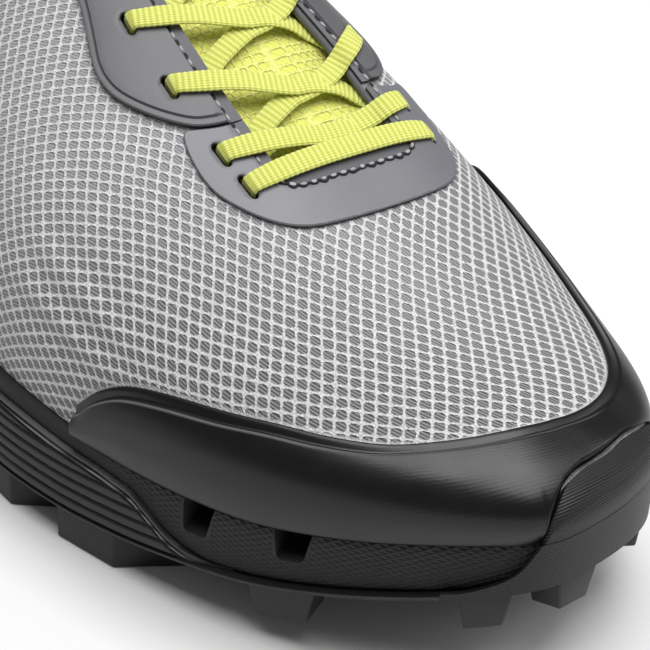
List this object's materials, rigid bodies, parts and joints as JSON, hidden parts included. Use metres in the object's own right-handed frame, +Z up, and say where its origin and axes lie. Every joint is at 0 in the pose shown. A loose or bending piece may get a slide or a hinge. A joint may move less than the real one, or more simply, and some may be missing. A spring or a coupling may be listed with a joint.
{
  "type": "obstacle course racing shoe",
  "caption": "Low obstacle course racing shoe with a grid mesh upper, film eyestay, flat lace, wrapped rubber toe bumper, drained midsole and lugged outsole.",
  "frame": {"origin": "middle of the underside, on the floor that the lugs stand on", "axes": "+X from heel to toe, +Y to the medial side, +Z up"},
  "size_m": [0.2928, 0.1082, 0.1154],
  "materials": {
    "outsole_rubber": "moulded matt black rubber with fine ribs",
    "midsole_foam": "moulded black foam with a scaled skin",
    "insole_fabric": "dark knitted cover",
    "grid_mesh": "grey woven mesh with a raised pale square grid",
    "bumper_rubber": "smooth satin black rubber",
    "stay_film_light": "smooth grey film",
    "stay_film": "smooth grey film with a pressed groove",
    "tongue_fabric": "yellow-green ripstop cloth",
    "lace_cord": "flat yellow-green ribbed lace"
  },
  "bodies": {
    "root": {"outsole": "outsole_rubber", "midsole": "midsole_foam", "insole": "insole_fabric", "upper": "grid_mesh", "toe_bumper": "bumper_rubber", "eyestay_front": "stay_film_light", "eyestay_lateral": "stay_film", "eyestay_medial": "stay_film", "tongue": "tongue_fabric", "lace_bar": "lace_cord", "lace_cross_1": "lace_cord", "lace_cross_2": "lace_cord", "lace_cross_3": "lace_cord", "lace_cross_4": "lace_cord", "lace_cross_5": "lace_cord", "lace_cross_6": "lace_cord"}
  },
  "joints": []
}
